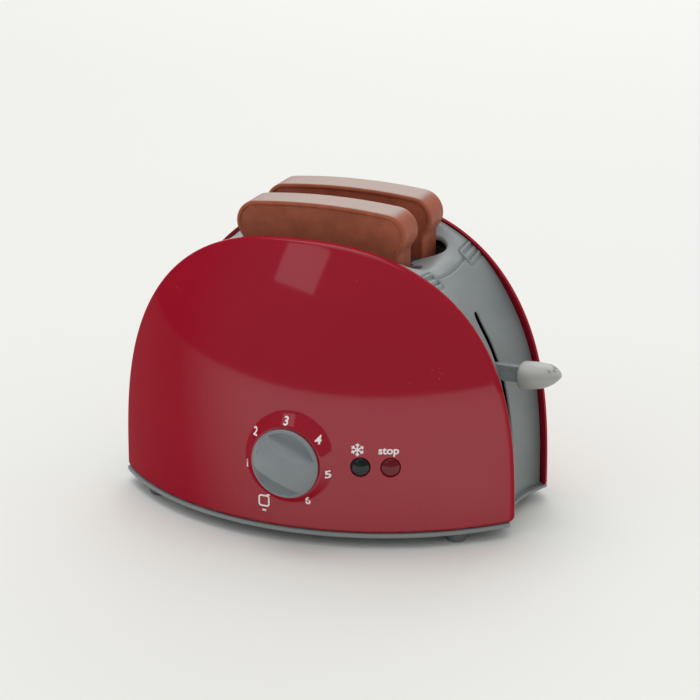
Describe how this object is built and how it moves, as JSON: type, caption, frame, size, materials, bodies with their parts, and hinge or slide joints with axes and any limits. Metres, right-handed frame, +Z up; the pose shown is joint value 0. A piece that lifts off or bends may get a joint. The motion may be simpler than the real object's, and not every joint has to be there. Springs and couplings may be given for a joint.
{
  "type": "toy toaster",
  "caption": "Toy toaster with bowed covers, lift-out toast slices on a sprung carriage with a side lever, a clicking browning knob and push buttons.",
  "frame": {"origin": "on the surface the toaster stands on, under the middle of the whole toy's outline box, lever and knob included", "axes": "+Z up, -Y out of the front with the knob, +X toward the side with the lever"},
  "size_m": [0.1975, 0.1432, 0.139],
  "materials": {
    "cover_red": "glossy moulded plastic",
    "housing_grey": "fine satin moulded plastic",
    "trim_grey": "fine satin moulded plastic",
    "toast_brown": "satin moulded plastic, lighter crust tops",
    "grip_grey": "light satin plastic",
    "inner_dark": "dark moulded plastic",
    "button_dark": "glossy dark plastic",
    "button_red": "glossy translucent-looking red plastic",
    "acetal_cream": "natural slippery plastic",
    "steel": "zinc-plated steel"
  },
  "bodies": {
    "housing": {"front_cover": "cover_red", "rear_cover": "cover_red", "core_arch": "housing_grey", "base_plate": "housing_grey", "feet": "trim_grey", "toast_guide": "inner_dark", "guide_rods": "steel", "lift_springs": "steel", "click_spring": "steel", "control_bracket": "inner_dark", "catch_pin": "steel", "base_screws": "steel", "guide_screws": "steel"},
    "carriage": {"carriage": "inner_dark", "lever_stem": "housing_grey", "lever_grip": "grip_grey", "lever_screw": "steel"},
    "front_slice": {"toast_front": "toast_brown"},
    "rear_slice": {"toast_rear": "toast_brown"},
    "browning_knob": {"knob": "trim_grey", "knob_shaft": "acetal_cream", "knob_clip": "steel"},
    "defrost_key": {"defrost_button": "button_dark", "defrost_spring": "steel"},
    "stop_key": {"stop_button": "button_red", "stop_spring": "steel"},
    "catch": {"catch": "acetal_cream"}
  },
  "joints": [
    {"name": "lever_slide", "type": "slide", "parent": "housing", "child": "carriage", "axis": [0, 0, 1], "range_m": [-0.042, 0.02], "stiffness_N_per_m": 150, "springref_m": 0.01177, "deforming": ["lift_springs"]},
    {"name": "front_slice_lift", "type": "slide", "parent": "carriage", "child": "front_slice", "axis": [0, 0, 1], "range_m": [0, 0.075]},
    {"name": "rear_slice_lift", "type": "slide", "parent": "carriage", "child": "rear_slice", "axis": [0, 0, 1], "range_m": [0, 0.075]},
    {"name": "knob_turn", "type": "hinge", "parent": "housing", "child": "browning_knob", "pos_m": [-0.00105, -0.06521, 0.0369], "axis": [0, -1, 0], "range_deg": [-216, 84]},
    {"name": "defrost_press", "type": "slide", "parent": "housing", "child": "defrost_key", "axis": [-0.2972, 0.9548, 0], "range_m": [0, 0.0025], "stiffness_N_per_m": 300, "springref_m": -0.002},
    {"name": "stop_press", "type": "slide", "parent": "housing", "child": "stop_key", "axis": [-0.3951, 0.9186, 0], "range_m": [0, 0.0025], "stiffness_N_per_m": 300, "springref_m": -0.002},
    {"name": "catch_turn", "type": "hinge", "parent": "housing", "child": "catch", "pos_m": [0.03625, -0.03321, 0.0296], "axis": [-1, 0, 0], "range_deg": [0, 22.5]}
  ],
  "couplings": [
    {"joint": "catch_turn", "follows": "stop_press", "rad_per_m": 153}
  ]
}
